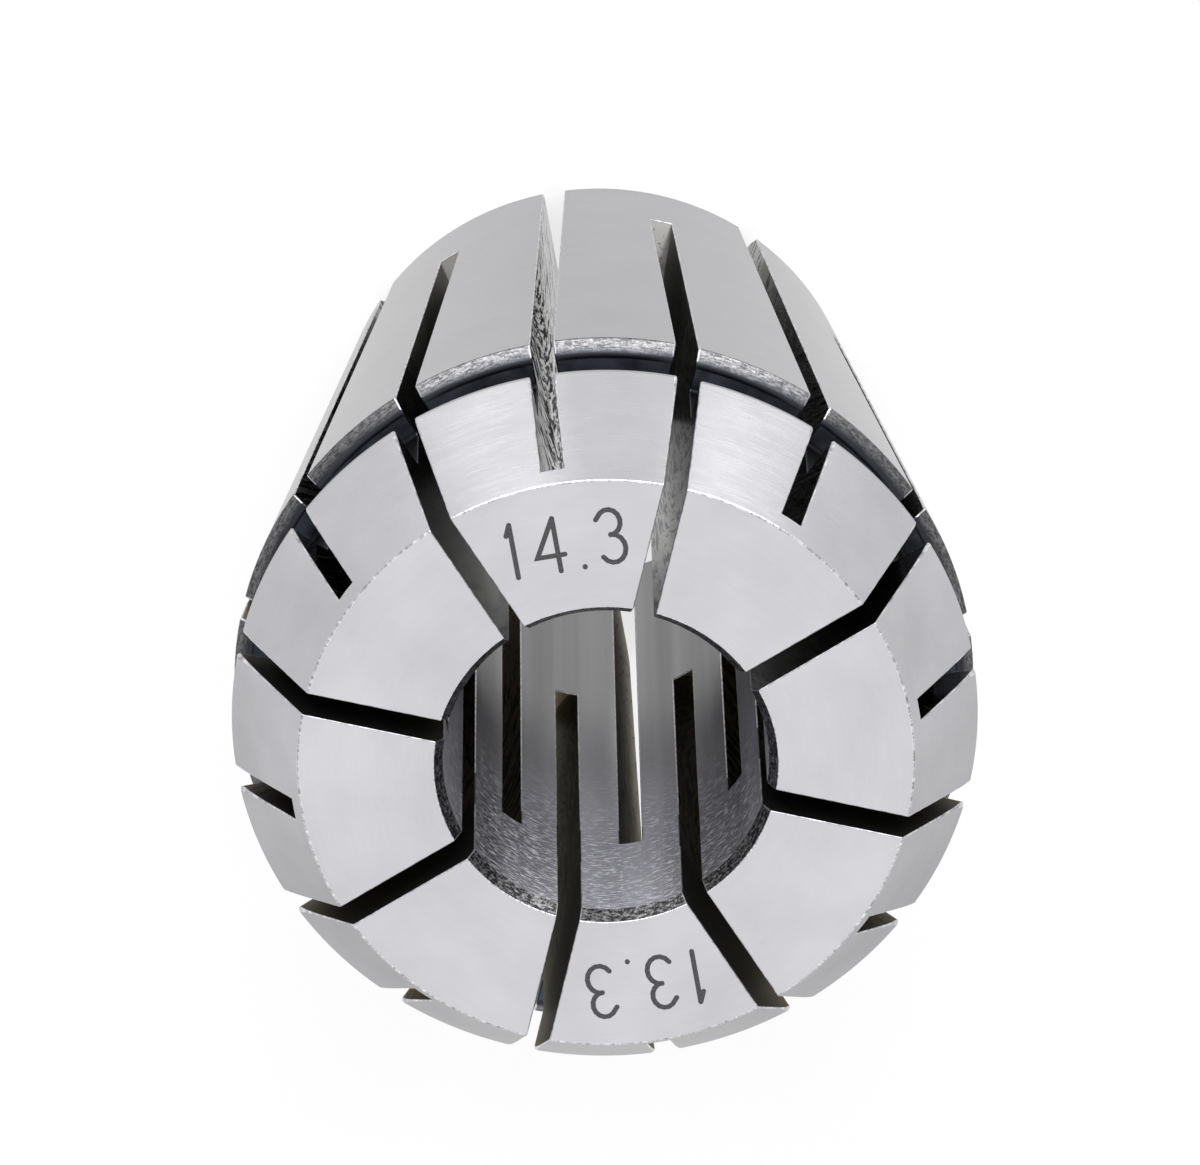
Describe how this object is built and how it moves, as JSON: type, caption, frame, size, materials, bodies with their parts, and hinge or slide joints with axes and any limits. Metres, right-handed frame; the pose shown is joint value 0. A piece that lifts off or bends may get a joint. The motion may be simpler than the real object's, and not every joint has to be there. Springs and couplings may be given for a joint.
{
  "type": "collet",
  "caption": "One-piece double-taper spring collet of hardened steel, slotted alternately from both ends, with an extractor groove and a through bore for a round shank.",
  "frame": {"origin": "centre of the rear end, on the bore's axis", "axes": "+Z along the bore's axis, from the small rear end to the clamping face"},
  "size_m": [0.033, 0.033, 0.04],
  "materials": {
    "ground_steel": "ground satin steel, nearly black in the groove"
  },
  "bodies": {
    "root": {"collet": "ground_steel"}
  },
  "joints": []
}
